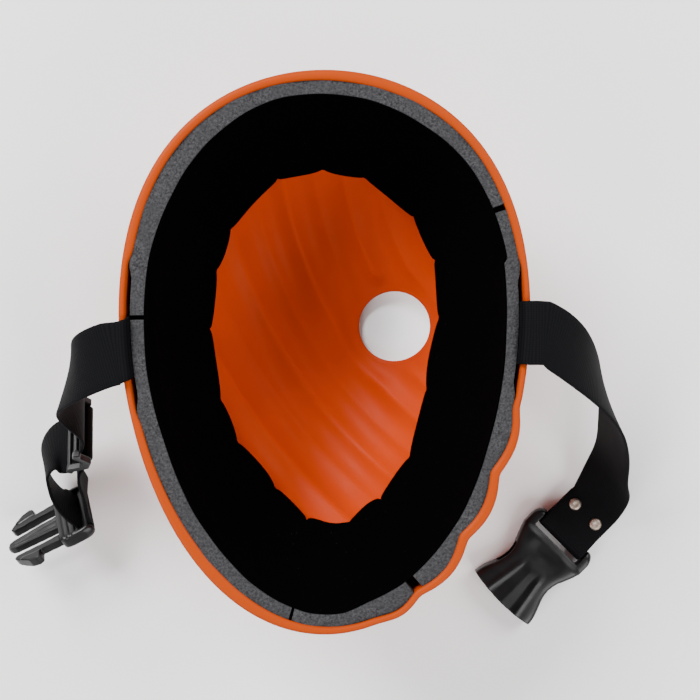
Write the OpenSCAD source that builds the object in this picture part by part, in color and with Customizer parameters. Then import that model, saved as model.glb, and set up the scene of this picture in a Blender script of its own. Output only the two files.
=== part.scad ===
// Full-face mask, lying on its front with the open back upwards.
// A moulded shell, four foam strips with cloth facings, two webbing straps with a
// slide adjuster and the two halves of a side-release buckle. Millimetres, +Z up,
// +Y towards the forehead, the table at z = 0.

/* [Shell] */
// Width across the widest part of the rim
mask_w = 192; // [180:1:200]
// Height from forehead to chin
mask_h = 265.6; // [250:0.2:280]
// Depth from the rim down to the front of the face
mask_d = 114; // [108:1:118]
// Wall thickness of the moulded shell
shell_t = 3; // [2.5:0.1:3.5]
// Diameter of the eye hole
eye_d = 38; // [30:1:42]
// Eye hole centre, sideways from the middle of the mask
eye_x = 36; // [30:1:42]
// Eye hole centre, upwards from the middle of the mask
eye_y = 14; // [8:1:20]

/* [Liner] */
// Foam thickness
foam_t = 5; // [4:0.5:6]
// Thickness of the cloth facing
facing_t = 0.7; // [0.5:0.1:0.9]
// Gap between the shell and the foam at the rim
foam_gap = 0.5; // [0.4:0.1:0.8]
// Extra room behind the foam, deep in the mask and where a strap end is glued
pocket = 1.8; // [1.7:0.1:2]
// How far the foam's upper edge lies below the rim
foam_drop = 2; // [1:0.5:4]
// Depth of the strips' lower edge below the rim
liner_depth = 76; // [70:1:80]

/* [Straps] */
// Webbing width
web_w = 30; // [28:1:30]
// Webbing thickness
web_t = 1.5; // [1.3:0.1:1.6]
// Free gap on each side of a strap's hinge line
web_gap = 1.5; // [1:0.1:1.6]

/* [Buckle] */
// Radius of the bars that the webbing wraps round
bar_r = 2.2; // [1.8:0.1:2.3]
// Width of the male half at its bar
male_end_w = 37; // [36:0.5:38]
// Width of the female half at its bar
female_end_w = 42; // [36:0.5:43]
// Width of the female half's mouth
buckle_w = 41; // [40:0.5:44]
// Thickness of the male half's base
male_t = 9; // [8:0.5:10]
// Thickness of the female half
female_t = 12; // [11.6:0.2:12.4]
// Spacing between the two rivets
rivet_pitch = 15.6; // [14:0.2:17]
// Diameter of a rivet's head
rivet_d = 6.4; // [5:0.2:7]

/* [Hidden] */
fine = 48;

// The model's origin is the middle of its footprint, so the mask's own middle lies off it.
mask_origin = [4.8, 8.4, 0];

// Egg outline: wider above the middle, narrower at the chin.
egg_lean = 0.125;
egg_fill = 0.08;
// Dome profile, a superellipse that is steep at the rim and flat at the front.
depth_power = 1.6;
radius_power = 2.3;

// Ends of the four liner strips, as angles round the mask from its wearer's right side.
top_span = [32.5, 172.5];
left_span = [173.5, 258.5];
chin_span = [259.5, 299];
right_span = [302, 391];
// Angles between which a strap end is glued behind the foam.
left_pocket = [166, 188];
right_pocket = [-5, 13];
// Angles between which the flutes reach the rim, and push the foam inwards.
fluted_rim = [286, 340];
pocket_fade = 6;

function unit(v) = v / norm(v);
function lerp(a, b, k) = a + (b - a) * k;
function smooth(k) = let (c = min(1, max(0, k))) c * c * (3 - 2 * c);

// ---- The dome ------------------------------------------------------------------------

// A point of the rim's outline, and its derivative by the angle.
function egg_width(u) = 1 + egg_lean * sin(u) + egg_fill * pow(sin(u), 2);
function egg(u) = [mask_w / 2 * cos(u) * egg_width(u), mask_h / 2 * sin(u)];
function egg_slope(u) =
    let (g = egg_width(u), dg = cos(u) * (egg_lean + 2 * egg_fill * sin(u)))
    [mask_w / 2 * (cos(u) * dg - sin(u) * g), mask_h / 2 * cos(u)];

// A profile angle runs from 0 at the rim to 90 at the front.
function depth_of(f) = pow(sin(f), 2 / depth_power);
function radius_of(f) = pow(cos(f), 2 / radius_power);
function profile_angle(depth) = asin(pow(depth / mask_d, depth_power / 2));

function outward(u, f) =
    let (t = depth_of(f), e = egg(u), s = egg_slope(u),
         k1 = depth_power / radius_power * pow(t, depth_power - 1),
         k2 = pow(1 - pow(t, depth_power), 1 - 1 / radius_power))
    unit(cross([-e.x * k1, -e.y * k1, -mask_d * k2], [s.x, s.y, 0]));

// A point on the dome, moved inwards along its normal.
function dome(u, f, inset) =
    let (e = egg(u) * radius_of(f))
    [e.x, e.y, mask_d * (1 - depth_of(f))] - inset * outward(u, f);

// ---- Closed grids --------------------------------------------------------------------

// Two triangles for the cell between points a, b of one row and d, c of the next.
function cell(a, b, c, d) = [[a, b, c], [a, c, d]];

// A plate between two sheets of rows x cols points, the first sheet facing outwards.
module plate(front, back) {
    rows = len(front);
    cols = len(front[0]);
    points = [for (sheet = [front, back]) for (row = sheet) for (p = row) p];
    function at(s, i, j) = (s * rows + i) * cols + j;
    sheets = [for (i = [0:rows - 2]) for (j = [0:cols - 2]) each concat(
        cell(at(0, i, j), at(0, i + 1, j), at(0, i + 1, j + 1), at(0, i, j + 1)),
        cell(at(1, i, j), at(1, i, j + 1), at(1, i + 1, j + 1), at(1, i + 1, j)))];
    ends = [for (i = [0:rows - 2]) each concat(
        cell(at(0, i, 0), at(1, i, 0), at(1, i + 1, 0), at(0, i + 1, 0)),
        cell(at(0, i, cols - 1), at(0, i + 1, cols - 1), at(1, i + 1, cols - 1), at(1, i, cols - 1)))];
    edges = [for (j = [0:cols - 2]) each concat(
        cell(at(0, 0, j), at(0, 0, j + 1), at(1, 0, j + 1), at(1, 0, j)),
        cell(at(0, rows - 1, j), at(1, rows - 1, j), at(1, rows - 1, j + 1), at(0, rows - 1, j + 1)))];
    polyhedron(points, concat(sheets, ends, edges));
}

// A bowl between two stacks of closed rings, each stack ending in a point at the bottom.
module bowl(outer, inner, outer_tip, inner_tip) {
    rows = len(outer);
    cols = len(outer[0]);
    points = concat([for (sheet = [outer, inner]) for (row = sheet) for (p = row) p],
                    [outer_tip, inner_tip]);
    tip = 2 * rows * cols;
    function at(s, i, j) = (s * rows + i) * cols + j % cols;
    walls = [for (i = [0:rows - 2]) for (j = [0:cols - 1]) each concat(
        cell(at(0, i, j), at(0, i, j + 1), at(0, i + 1, j + 1), at(0, i + 1, j)),
        cell(at(1, i, j), at(1, i + 1, j), at(1, i + 1, j + 1), at(1, i, j + 1)))];
    lip = [for (j = [0:cols - 1]) each cell(at(0, 0, j), at(1, 0, j), at(1, 0, j + 1), at(0, 0, j + 1))];
    tips = [for (j = [0:cols - 1]) each [
        [at(0, rows - 1, j), at(0, rows - 1, j + 1), tip],
        [at(1, rows - 1, j + 1), at(1, rows - 1, j), tip + 1]]];
    polyhedron(points, concat(walls, lip, tips));
}

// ---- Webbing -------------------------------------------------------------------------

// Catmull-Rom curve through stations [centre, face direction]. The first and last stations
// only aim the ends.
function blend4(a, b, c, d, k) =
    0.5 * (2 * b + (c - a) * k + (2 * a - 5 * b + 4 * c - d) * k * k
           + (3 * b - a - 3 * c + d) * k * k * k);
function curve(stations, steps) = [
    for (i = [1:len(stations) - 3]) for (j = [0:i == len(stations) - 3 ? steps : steps - 1])
        [for (m = [0, 1]) blend4(stations[i - 1][m], stations[i][m], stations[i + 1][m],
                                 stations[i + 2][m], j / steps)]];

// Direction of travel at station i of a path.
function heading(path, i) =
    unit(path[min(i + 1, len(path) - 1)][0] - path[max(i - 1, 0)][0]);

// A flat strap along a path, its faces square to the face directions.
module webbing(path) {
    function corner(i, side, face) =
        let (t = heading(path, i), w = unit(cross(path[i][1], t)), n = cross(t, w))
        path[i][0] + side * web_w / 2 * w + face * web_t / 2 * n;
    last = len(path) - 1;
    front = [for (i = [0:last]) [for (side = [-1, 1]) corner(i, side, 1)]];
    back = [for (i = [0:last]) [for (side = [-1, 1]) corner(i, side, -1)]];
    plate(front, back);
}

// ---- Places --------------------------------------------------------------------------

// The male half hangs beside the mask: its bar, the way its prongs point, and its tilt.
male_bar = [-132, -86, 19];
male_azimuth = 208;
male_tilt = 52;
male_x = [cos(male_azimuth), sin(male_azimuth), 0];
male_y = [-sin(male_azimuth) * cos(male_tilt), cos(male_azimuth) * cos(male_tilt), sin(male_tilt)];
male_z = cross(male_x, male_y);

// The female half lies flat on the table.
female_bar = [129.2, -101.2, female_t / 2 + 0.2];
female_azimuth = 225;
female_x = [cos(female_azimuth), sin(female_azimuth), 0];

// A station in the plane across the male half's bar: forward, up, and the face's direction.
function hang(forward, up, face) =
    [male_bar + forward * male_x + up * male_z, face.x * male_x + face.y * male_z];

// The adjuster hangs beside the mask: x down the strap, y along its bars, z out of its face.
slide_at = [-129, -42, 47];
slide_tilt = 30;
slide_turn = 6;
slide_lean = -24;
slide_y = [sin(slide_turn) * cos(slide_tilt), -cos(slide_turn) * cos(slide_tilt), sin(slide_tilt)];
slide_plumb = unit([0, 0, -1] + slide_y.z * slide_y);
slide_x = cos(slide_lean) * slide_plumb + sin(slide_lean) * cross(slide_y, slide_plumb);
slide_z = cross(slide_x, slide_y);

// A station on the straight stretch of strap that the adjuster runs on.
straight_half = 15.5;
function straight(along, out) = [slide_at + along * slide_x + out * slide_z, slide_z];

// Where a folded end's two layers meet, and where its tail stops, from the bar.
fold_meet = 10;
fold_tail = 22;
sewn_meet = 7;
sewn_tail = 10.8;

// Where the free straps hinge on their glued ends, outside the rim, and how far each
// strap slants down from square.
left_hinge = [-101, -1.3, mask_d + 3];
right_hinge = [101, 9, mask_d + 3];
left_slant = 16;
right_slant = 0;

left_drop = [
    [[-92, 1.2, 116], [0, 0, 1]],
    [left_hinge + web_gap * [-cos(left_slant), -sin(left_slant), -0.25], [-0.15, 0, 1]],
    [[-109.5, -4.2, 114.3], [-0.38, 0, 0.94]],
    [[-117, -8, 108.5], [-0.7, 0.05, 0.7]],
    [[-123, -12.5, 98], [-0.88, 0.2, 0.4]],
    [[-127.5, -18, 85], [-0.95, 0.3, 0.1]],
    [[-126.5, -25, 72], [-0.97, 0.2, 0.1]],
    straight(-straight_half, 0),
    straight(-straight_half + 10, 0)];
left_layer = [
    straight(straight_half - 10, 0),
    straight(straight_half, 0),
    [[-144, -50, 32], [-0.7, 0.25, 0.6]],
    [[-149.8, -56.5, 31], [-0.85, 0.18, 0.45]],
    [[-150, -66, 28], [-0.95, 0.15, 0.25]],
    hang(6.4, 12, [0.97, -0.15]),
    hang(3.25, 5, [1, 0]),
    hang(3.25, 1.5, [1, 0]),
    hang(3.25, 0.1, [1, 0]),
    hang(3.25, -2, [1, 0])];
return_layer = [
    straight(2, -4.85),
    straight(14, -4.85),
    [[-133.5, -56, 30], [-0.9, -0.1, 0.35]],
    [[-133, -65, 27.5], [-0.95, -0.3, 0.1]],
    [[-129.2, -74.5, 24.8], [-0.9, -0.35, 0]],
    hang(-3.25, 4.5, [1, 0]),
    hang(-3.25, 0.3, [1, 0]),
    hang(-3.25, -5, [1, 0])];
right_drop = [
    [[92, 6.3, 116], [0, 0, 1]],
    [right_hinge + web_gap * [1, -0.1, -0.3], [0.2, 0, 1]],
    [[109.5, 6.5, 114.2], [0.35, 0.03, 0.94]],
    [[118, -0.5, 109], [0.55, 0.1, 0.82]],
    [[127.5, -9, 100.5], [0.75, 0.2, 0.6]],
    [[136.5, -19.5, 88], [0.9, 0.3, 0.3]],
    [[142.8, -31, 74], [0.93, 0.37, 0]],
    [[146.5, -42, 60], [0.88, 0.38, -0.14]],
    [[149.2, -52, 45], [0.85, 0.3, -0.27]],
    [[150.5, -61, 32], [0.8, 0.1, -0.48]],
    [[151, -69.5, 21], [0.4, -0.1, -0.85]],
    [[149.5, -78.5, 12.5], [0.15, -0.1, -1]],
    [female_bar - (fold_tail + 1) * female_x + [0, 0, web_t / 2], [0, 0, -1]],
    [[135.4, -92.6, 12.5], [0, 0, -1]]];

module on_male_half() {
    translate(male_bar) rotate([male_tilt, 0, male_azimuth]) children();
}

module on_female_half() {
    translate(female_bar) rotate([0, 0, female_azimuth]) children();
}

module on_adjuster() {
    multmatrix([for (i = [0:2]) [slide_x[i], slide_y[i], slide_z[i], slide_at[i]]]) children();
}

// ---- Shell ---------------------------------------------------------------------------

shell_cols = 60;
shell_rows = 12;
shell_last = 84;
eye_reach = 60;

module shell() {
    function ring(f, inset) = [for (j = [0:shell_cols - 1]) dome(j * 360 / shell_cols, f, inset)];
    angles = [for (i = [0:shell_rows]) shell_last * i / shell_rows];
    color("orangered") difference() {
        bowl([for (f = angles) ring(f, 0)], [for (f = angles) ring(f, shell_t)],
             [0, 0, 0], [0, 0, shell_t]);
        translate([eye_x, eye_y, -1]) cylinder(d = eye_d, h = eye_reach, $fn = 96);
    }
}

// ---- Liner ---------------------------------------------------------------------------

strip_step = 6;
strip_rows = 6;

// 1 inside a pocket's angles, fading to 0 beside them.
function in_pocket(u, span) =
    let (mid = (span[0] + span[1]) / 2, off = abs((u - mid + 540) % 360 - 180))
    smooth(1 + ((span[1] - span[0]) / 2 - off) / pocket_fade);

// Distance from the dome to the back of the foam.
function foam_back(u, f) =
    let (deep = smooth((f - 12) / 14))
    shell_t + foam_gap + pocket * max([deep, for (span = [left_pocket, right_pocket, fluted_rim])
                                       in_pocket(u, span)]);

// One layer of a strip, between two depths behind the foam's back.
module strip_layer(span, from, to) {
    cols = ceil((span[1] - span[0]) / strip_step);
    f0 = profile_angle(foam_drop);
    f1 = profile_angle(liner_depth);
    function sheet(depth) = [for (i = [0:strip_rows]) [for (j = [0:cols])
        let (u = lerp(span[0], span[1], j / cols), f = lerp(f0, f1, i / strip_rows))
        dome(u, f, foam_back(u, f) + depth)]];
    plate(sheet(from), sheet(to));
}

module strip_foam(span) {
    color("dimgray") strip_layer(span, 0, foam_t);
}

module strip_facing(span) {
    color("black") strip_layer(span, foam_t, foam_t + facing_t);
}

// ---- Straps --------------------------------------------------------------------------

path_steps = 4;

// Section of a glued end: inset from the shell's outer face, and height above the rim. It
// comes up between foam and shell, and crosses the lip.
tuck = [[4.15, -38], [4.15, -26], [4.15, -14], [4.15, -5], [4.05, -0.5], [3.3, 1.9], [1.8, 3],
        [-0.5, 3]];
anchor_cols = 6;

// Length of the section from row i to the hinge.
function tuck_run(i, to) =
    i == len(tuck) - 1 ? to : norm(tuck[i + 1] - tuck[i]) + tuck_run(i + 1, to);

// A glued end that lies on the shell's wall, and ends straight at its hinge.
module glued_end(side, hinge, slant) {
    last = len(tuck) - 1;
    away = [side * cos(slant), -sin(slant), 0];
    across = [side * sin(slant), cos(slant), 0];
    function normal(i) =
        let (t = unit(tuck[min(i + 1, last)] - tuck[max(i - 1, 0)])) [t.y, -t.x];
    function on_wall(i, s, face) =
        let (p = tuck[i] + face * web_t / 2 * normal(i), f = profile_angle(max(0, -p.y)),
             y = hinge.y + s * cos(slant) + tuck_run(i, 4) * sin(slant),
             lift = asin(y / (mask_h / 2 * radius_of(f))))
        dome(side > 0 ? lift : 180 - lift, f, p.x) + [0, 0, max(0, p.y)];
    function row(i, face) = [for (j = [0:anchor_cols])
        let (s = web_w * (j / anchor_cols - 0.5))
        i > last ? hinge - web_gap * away + s * across + [0, 0, face * web_t / 2]
                 : on_wall(i, s, face)];
    color("#18181c") plate([for (i = [0:last + 1]) row(i, side)], [for (i = [0:last + 1]) row(i, -side)]);
}

module left_anchor() {
    glued_end(-1, left_hinge, left_slant);
}

module right_anchor() {
    glued_end(1, right_hinge, right_slant);
}

// From the hinge, straight through the adjuster, and down to the male half's bar.
module left_strap() {
    color("#18181c") webbing(concat(curve(left_drop, path_steps), curve(left_layer, path_steps)));
}

module right_strap() {
    color("#18181c") webbing(curve(right_drop, path_steps));
}

// The turn of the left strap under the male half's bar.
module left_fold() {
    color("#18181c") on_male_half() rotate([90, 0, 0]) linear_extrude(web_w, center = true)
        difference() {
            circle(r = bar_r + 0.3 + web_t, $fn = fine);
            circle(r = bar_r + 0.3, $fn = fine);
            translate([-10, 0]) square([20, 10]);
        }
}

// A strap end folded round a bar at the origin and closed on itself towards -x.
module folded_end(radius, meet, tail) {
    outer = radius + web_t;
    rotate([90, 0, 0]) linear_extrude(web_w, center = true) difference() {
        union() {
            circle(r = outer, $fn = fine);
            polygon([[0, outer], [-meet, web_t], [-meet, -web_t], [0, -outer]]);
            translate([-tail, -web_t]) square([tail - meet, 2 * web_t]);
        }
        circle(r = radius, $fn = fine);
        polygon([[0, radius], [-meet, 0], [0, -radius]]);
    }
}

// The right strap's end, folded round the female half's bar and back under itself.
module right_fold() {
    color("#18181c") on_female_half() difference() {
        folded_end(bar_r + 0.3, fold_meet, fold_tail);
        at_rivets() cylinder(r = shank_r + 0.05, h = 20, center = true, $fn = fine);
    }
}

// The left strap's end, sewn round the adjuster's middle bar.
module sewn_fold() {
    color("#18181c") on_adjuster() translate([0, 0, mid_bar_out]) rotate([0, 0, 180])
        folded_end(mid_bar_r + 0.25, sewn_meet, sewn_tail);
}

// The return layer, from the male half's bar up to the sewn end.
module return_strap() {
    color("#18181c") webbing(curve(return_layer, path_steps));
}

// ---- Adjuster ------------------------------------------------------------------------

rail_w = 3.4;
outer_bar_r = 1.3;
outer_bar_out = 2.6;
outer_bar_x = 8.6;
mid_bar_r = 1.4;
mid_bar_out = -4.1;

module adjuster() {
    color("#101012") on_adjuster() {
        for (x = [-outer_bar_x, outer_bar_x])
            translate([x, 0, outer_bar_out]) rotate([90, 0, 0])
                cylinder(r = outer_bar_r, h = web_w + 3, center = true, $fn = fine);
        translate([0, 0, mid_bar_out]) rotate([90, 0, 0])
            cylinder(r = mid_bar_r, h = web_w + 3, center = true, $fn = fine);
        for (side = [-1, 1])
            translate([0, side * (web_w + 1 + rail_w) / 2, 0]) rotate([90, 0, 0])
                linear_extrude(rail_w, center = true)
                    polygon([[-10.7, 1.2], [-9.6, 4.4], [-6.4, 4.4], [-2.4, -1.6], [2.4, -1.6],
                             [6.4, 4.4], [9.6, 4.4], [10.7, 1.2], [8, 0.6], [3.2, -6],
                             [-3.2, -6], [-8, 0.6]]);
    }
}

// ---- Stitching and rivets ------------------------------------------------------------

// A bar tack that closes the sewn end below the adjuster's middle bar.
stitch_r = 0.35;
stitch_count = 9;
stitch_x = 8.8;

module return_stitching() {
    color("gray") on_adjuster() translate([stitch_x, 0, mid_bar_out - web_t - stitch_r])
        for (i = [0:stitch_count - 1])
            translate([0, (i - (stitch_count - 1) / 2) * web_w / (stitch_count + 1), 0])
                rotate([0, 90, 0]) cylinder(r = stitch_r, h = 3, center = true, $fn = 16);
}

shank_r = 1.5;
rivet_x = -17;
rivet_cap = 1.3;
rivet_dome_r = 5;

module at_rivets() {
    for (side = [-1, 1]) translate([rivet_x, side * rivet_pitch / 2, 0]) children();
}

module rivet_caps() {
    color("silver") on_female_half() at_rivets() {
        translate([0, 0, -web_t]) cylinder(r = shank_r, h = 2 * web_t, $fn = fine);
        translate([0, 0, web_t]) intersection() {
            cylinder(d = rivet_d, h = rivet_cap, $fn = fine);
            translate([0, 0, rivet_cap - rivet_dome_r]) sphere(r = rivet_dome_r, $fn = fine);
        }
    }
}

module rivet_backs() {
    color("silver") on_female_half() at_rivets()
        translate([0, 0, -web_t - 0.8]) cylinder(d = rivet_d, h = 0.8, $fn = fine);
}

// ---- Side-release buckle -------------------------------------------------------------

cheek_in = web_w / 2 + 0.8;

// The bar and the two cheeks that carry it.
module bar_end(thick, reach, width) {
    cheek_w = width / 2 - cheek_in;
    rotate([90, 0, 0]) cylinder(r = bar_r, h = 2 * cheek_in + 1, center = true, $fn = fine);
    for (side = [-1, 1]) translate([0, side * (cheek_in + cheek_w / 2), 0]) {
        rotate([90, 0, 0]) cylinder(d = thick, h = cheek_w, center = true, $fn = fine);
        translate([0, -cheek_w / 2, -thick / 2]) cube([reach, cheek_w, thick]);
    }
}

base_x = 5.6;
base_end = 14.8;
prong_x = 15.2;
prong_t = 6;
guide_t = 4.4;
reach = 45;

module male_body() {
    color("#141416") on_male_half() {
        bar_end(male_t - 1, base_x + 1, male_end_w);
        translate([base_x, -male_end_w / 2, -male_t / 2]) cube([base_end - base_x, male_end_w, male_t]);
        linear_extrude(guide_t, center = true)
            polygon([[base_end, -5], [base_end, 5], [reach - 4, 3.2], [reach, 1.4],
                     [reach, -1.4], [reach - 4, -3.2]]);
    }
}

// A springy arm with a barbed head, on the side given.
module prong(side) {
    color("#141416") on_male_half() linear_extrude(prong_t, center = true)
        scale([1, side]) polygon([[prong_x, 10.5], [prong_x, 15], [27, 14.2], [27.5, 18.6],
                                  [30, 19.6], [34, 18.5], [40.5, 13.5], [42, 11.5],
                                  [40.5, 10], [34, 10.2], [26, 10.6]]);
}

module prong_upper() {
    prong(-1);
}

module prong_lower() {
    prong(1);
}

body_x = 6.4;
mouth_x = 48;
socket_x = 13;
socket_half = 13.5;
socket_t = 7.2;
waist_half = 15.2;
mouth_half = 16.6;

// Half width along the female half, narrowest halfway between its bar and its mouth.
function female_half_width(x) =
    let (along = (x - body_x) / (mouth_x - body_x), end = along < 0.5 ? female_end_w : buckle_w)
    lerp(waist_half, end / 2, (1 + cos(360 * along)) / 2);

module female_body() {
    side = [for (i = [0:24]) let (x = lerp(body_x, mouth_x, i / 24)) [x, female_half_width(x)]];
    other = [for (i = [24:-1:0]) [side[i].x, -side[i].y]];
    color("#141416") on_female_half() {
        bar_end(female_t - 4.5, body_x + 2, female_end_w);
        difference() {
            linear_extrude(female_t, center = true) polygon(concat(side, other));
            translate([socket_x, -socket_half, -socket_t / 2])
                cube([mouth_x, 2 * socket_half, socket_t]);
            translate([mouth_x - 9, -mouth_half, -socket_t / 2]) cube([10, 2 * mouth_half, socket_t]);
            translate([20, -buckle_w, -socket_t / 2]) cube([15, 2 * buckle_w, socket_t]);
        }
    }
}

module place() {
    translate(mask_origin) children();
}

place() shell();
place() strip_foam(top_span);  // liner_top_foam
place() strip_facing(top_span);  // liner_top_facing
place() strip_foam(right_span);  // liner_right_foam
place() strip_facing(right_span);  // liner_right_facing
place() strip_foam(chin_span);  // liner_chin_foam
place() strip_facing(chin_span);  // liner_chin_facing
place() strip_foam(left_span);  // liner_left_foam
place() strip_facing(left_span);  // liner_left_facing
place() left_anchor();
place() left_strap();
place() left_fold();
place() adjuster();
place() sewn_fold();
place() return_strap();
place() return_stitching();
place() male_body();
place() prong_upper();
place() prong_lower();
place() right_anchor();
place() right_strap();
place() right_fold();
place() rivet_caps();
place() rivet_backs();
place() female_body();
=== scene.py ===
# A full-face mask lying on its front, with its liner, two webbing straps, slide adjuster and
# side-release buckle. Lengths in the tables are millimetres in the mask's own frame.
import math

import bmesh
import bpy
import numpy as np
from mathutils import Matrix, Vector


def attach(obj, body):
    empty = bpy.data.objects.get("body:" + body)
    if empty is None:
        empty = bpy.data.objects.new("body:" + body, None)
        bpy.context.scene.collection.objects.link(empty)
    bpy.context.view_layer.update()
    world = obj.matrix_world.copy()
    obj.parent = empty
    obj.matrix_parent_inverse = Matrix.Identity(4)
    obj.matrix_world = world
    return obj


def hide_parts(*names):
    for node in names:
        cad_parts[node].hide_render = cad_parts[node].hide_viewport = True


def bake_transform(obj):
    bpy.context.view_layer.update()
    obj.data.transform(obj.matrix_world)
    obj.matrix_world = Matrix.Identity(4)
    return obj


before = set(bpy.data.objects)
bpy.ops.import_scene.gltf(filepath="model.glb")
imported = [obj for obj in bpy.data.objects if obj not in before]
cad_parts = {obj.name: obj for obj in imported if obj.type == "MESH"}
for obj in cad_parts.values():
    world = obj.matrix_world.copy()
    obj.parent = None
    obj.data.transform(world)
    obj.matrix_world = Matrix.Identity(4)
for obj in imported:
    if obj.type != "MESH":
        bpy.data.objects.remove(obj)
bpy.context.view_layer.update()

# ---- Sizes, as in the CAD ------------------------------------------------------------------

MM = 0.001
ORIGIN = np.array([4.8, 8.4, 0.0])
MASK_W = 192.0
MASK_H = 265.6
MASK_D = 114.0
SHELL_T = 3.0
EYE_R = 19.0
EYE = np.array([36.0, 14.0])
FOAM_T = 5.0
FOAM_GAP = 0.5
POCKET = 1.8
FOAM_DROP = 2.0
LINER_DEPTH = 76.0
WEB_W = 30.0
WEB_T = 1.5
WEB_GAP = 1.5
BAR_R = 2.2
MID_BAR_OUT = -4.1
MID_BAR_R = 1.4
EGG_LEAN = 0.125
EGG_FILL = 0.08
DEPTH_POWER = 1.6
RADIUS_POWER = 2.3


def deg(a):
    return math.radians(a)


def unit(v):
    v = np.asarray(v, float)
    return v / np.linalg.norm(v, axis=-1, keepdims=True)


def smooth(k):
    c = np.clip(k, 0, 1)
    return c * c * (3 - 2 * c)


def metres(points):
    return (np.asarray(points, float) + ORIGIN) * MM


# ---- Mesh building ---------------------------------------------------------------------------


def mesh_object(name, verts, faces, sharp=60):
    mesh = bpy.data.meshes.new(name)
    mesh.from_pydata([tuple(v) for v in verts], [], faces)
    mesh.validate()
    mesh.update()
    for polygon in mesh.polygons:
        polygon.use_smooth = True
    mesh.set_sharp_from_angle(angle=deg(sharp))
    obj = bpy.data.objects.new(name, mesh)
    bpy.context.scene.collection.objects.link(obj)
    return obj


def fix_normals(obj):
    bm = bmesh.new()
    bm.from_mesh(obj.data)
    bmesh.ops.recalc_face_normals(bm, faces=bm.faces)
    bm.to_mesh(obj.data)
    bm.free()


def loops_object(name, rings, closed, sharp=60):
    """Skin over rings of points; the row of rings closes on itself, or ends in flat caps."""
    rings = np.asarray(rings)
    count, size = rings.shape[:2]
    faces = []
    for i in range(count if closed else count - 1):
        a = i * size
        b = (i + 1) % count * size
        for j in range(size):
            k = (j + 1) % size
            faces.append((a + j, a + k, b + k, b + j))
    if not closed:
        faces.append(tuple(reversed(range(size))))
        faces.append(tuple(range((count - 1) * size, count * size)))
    obj = mesh_object(name, metres(rings.reshape(-1, 3)), faces, sharp)
    fix_normals(obj)
    return obj


# ---- The dome --------------------------------------------------------------------------------


def egg_width(u):
    return 1 + EGG_LEAN * np.sin(u) + EGG_FILL * np.sin(u) ** 2


def egg(u):
    return np.stack([MASK_W / 2 * np.cos(u) * egg_width(u), MASK_H / 2 * np.sin(u)], -1)


def outward(u, t):
    """Normal of the dome at angle u and depth t, both arrays; t is a share of MASK_D."""
    e = egg(u)
    dg = np.cos(u) * (EGG_LEAN + 2 * EGG_FILL * np.sin(u))
    slope_x = MASK_W / 2 * (np.cos(u) * dg - np.sin(u) * egg_width(u))
    slope_y = MASK_H / 2 * np.cos(u)
    k1 = DEPTH_POWER / RADIUS_POWER * t ** (DEPTH_POWER - 1)
    k2 = (1 - t**DEPTH_POWER) ** (1 - 1 / RADIUS_POWER)
    down = np.stack([-e[..., 0] * k1, -e[..., 1] * k1, -MASK_D * k2], -1)
    along = np.stack([slope_x, slope_y, np.zeros_like(slope_x)], -1)
    return unit(np.cross(down, along))


def dome(u, t, inset):
    radius = (1 - t**DEPTH_POWER) ** (1 / RADIUS_POWER)
    e = egg(u) * radius[..., None]
    base = np.concatenate([e, (MASK_D * (1 - t))[..., None]], -1)
    return base - np.asarray(inset)[..., None] * outward(u, t)


# ---- Flutes ------------------------------------------------------------------------------------

# Plain parallel flutes, gently curved about a far point, that run across the whole front.
FLUTE_CENTRE = np.array([180.0, 125.0])
FLUTE_START = 173.0
FLUTE_PITCH = 34.0


def crease(r, pitch):
    """1 on a sharp line every pitch, falling to 0 halfway between."""
    soft = 0.012
    wave = np.sqrt(np.sin(np.pi * (r - FLUTE_START) / pitch) ** 2 + soft)
    return (math.sqrt(1 + soft) - wave) / (math.sqrt(1 + soft) - math.sqrt(soft))


def rim_flutes(u):
    """1 where the flutes reach the rim, beside the wearer's left cheek."""
    turn = np.degrees(u) % 360
    return smooth((turn - 284) / 12) * smooth((353 - turn) / 8)


def flutes(u, t):
    """How far the wall is pressed inwards; beside the rim it swells out between the creases."""
    p = dome(u, t, np.zeros_like(t))
    r = np.hypot(p[..., 0] - FLUTE_CENTRE[0], p[..., 1] - FLUTE_CENTRE[1])
    middle = smooth((t * MASK_D - 48) / 26)
    clear = smooth((np.hypot(p[..., 0] - EYE[0], p[..., 1] - EYE[1]) - EYE_R - 2) / 12)
    edge = rim_flutes(u) * (1 - middle)
    broad = crease(r, FLUTE_PITCH) * (3.0 * edge + 1.9 * middle) - 2.6 * edge
    fine = crease(r, FLUTE_PITCH / 2) * 1.5 * middle
    return (broad + fine) * clear


# ---- Shell -------------------------------------------------------------------------------------

RAYS = 420
WALL_ROWS = 96
LIP_R = 1.5
LIP_ROWS = 12
# Where a plain bead widens the lip on its inner side: angle, spread in degrees, extra width.
LIP_BEAD = ((235, 30, 2.8), (150, 45, 1.6), (75, 30, 2.2), (30, 20, 1.0), (325, 22, 2.0))
STRAP_ZONES = ((177, 12), (4, 10))


def disc(p):
    """Disc coordinates of a point of the plan: radius 1 on the rim."""
    y = p[..., 1] / (MASK_H / 2)
    x = p[..., 0] / (MASK_W / 2)
    u = np.arctan2(y, x)
    for _ in range(12):
        u = np.arctan2(y, x / egg_width(u))
    return np.stack([x / egg_width(u), y], -1)


def from_disc(q):
    rho = np.clip(np.hypot(q[..., 0], q[..., 1]), 1e-4, 1)
    return np.arctan2(q[..., 1], q[..., 0]), (1 - rho**RADIUS_POWER) ** (1 / DEPTH_POWER)


def wall(q, inset):
    u, t = from_disc(q)
    return dome(u, t, inset + flutes(u, t))


def hole_start(angles, radius, inset):
    """Disc points whose wall points lie on the eye hole's circle."""
    target = EYE + radius * np.stack([np.cos(angles), np.sin(angles)], -1)
    aim = target
    for _ in range(10):
        aim = aim + target - wall(disc(aim), inset)[..., :2]
    return disc(aim)


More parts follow.
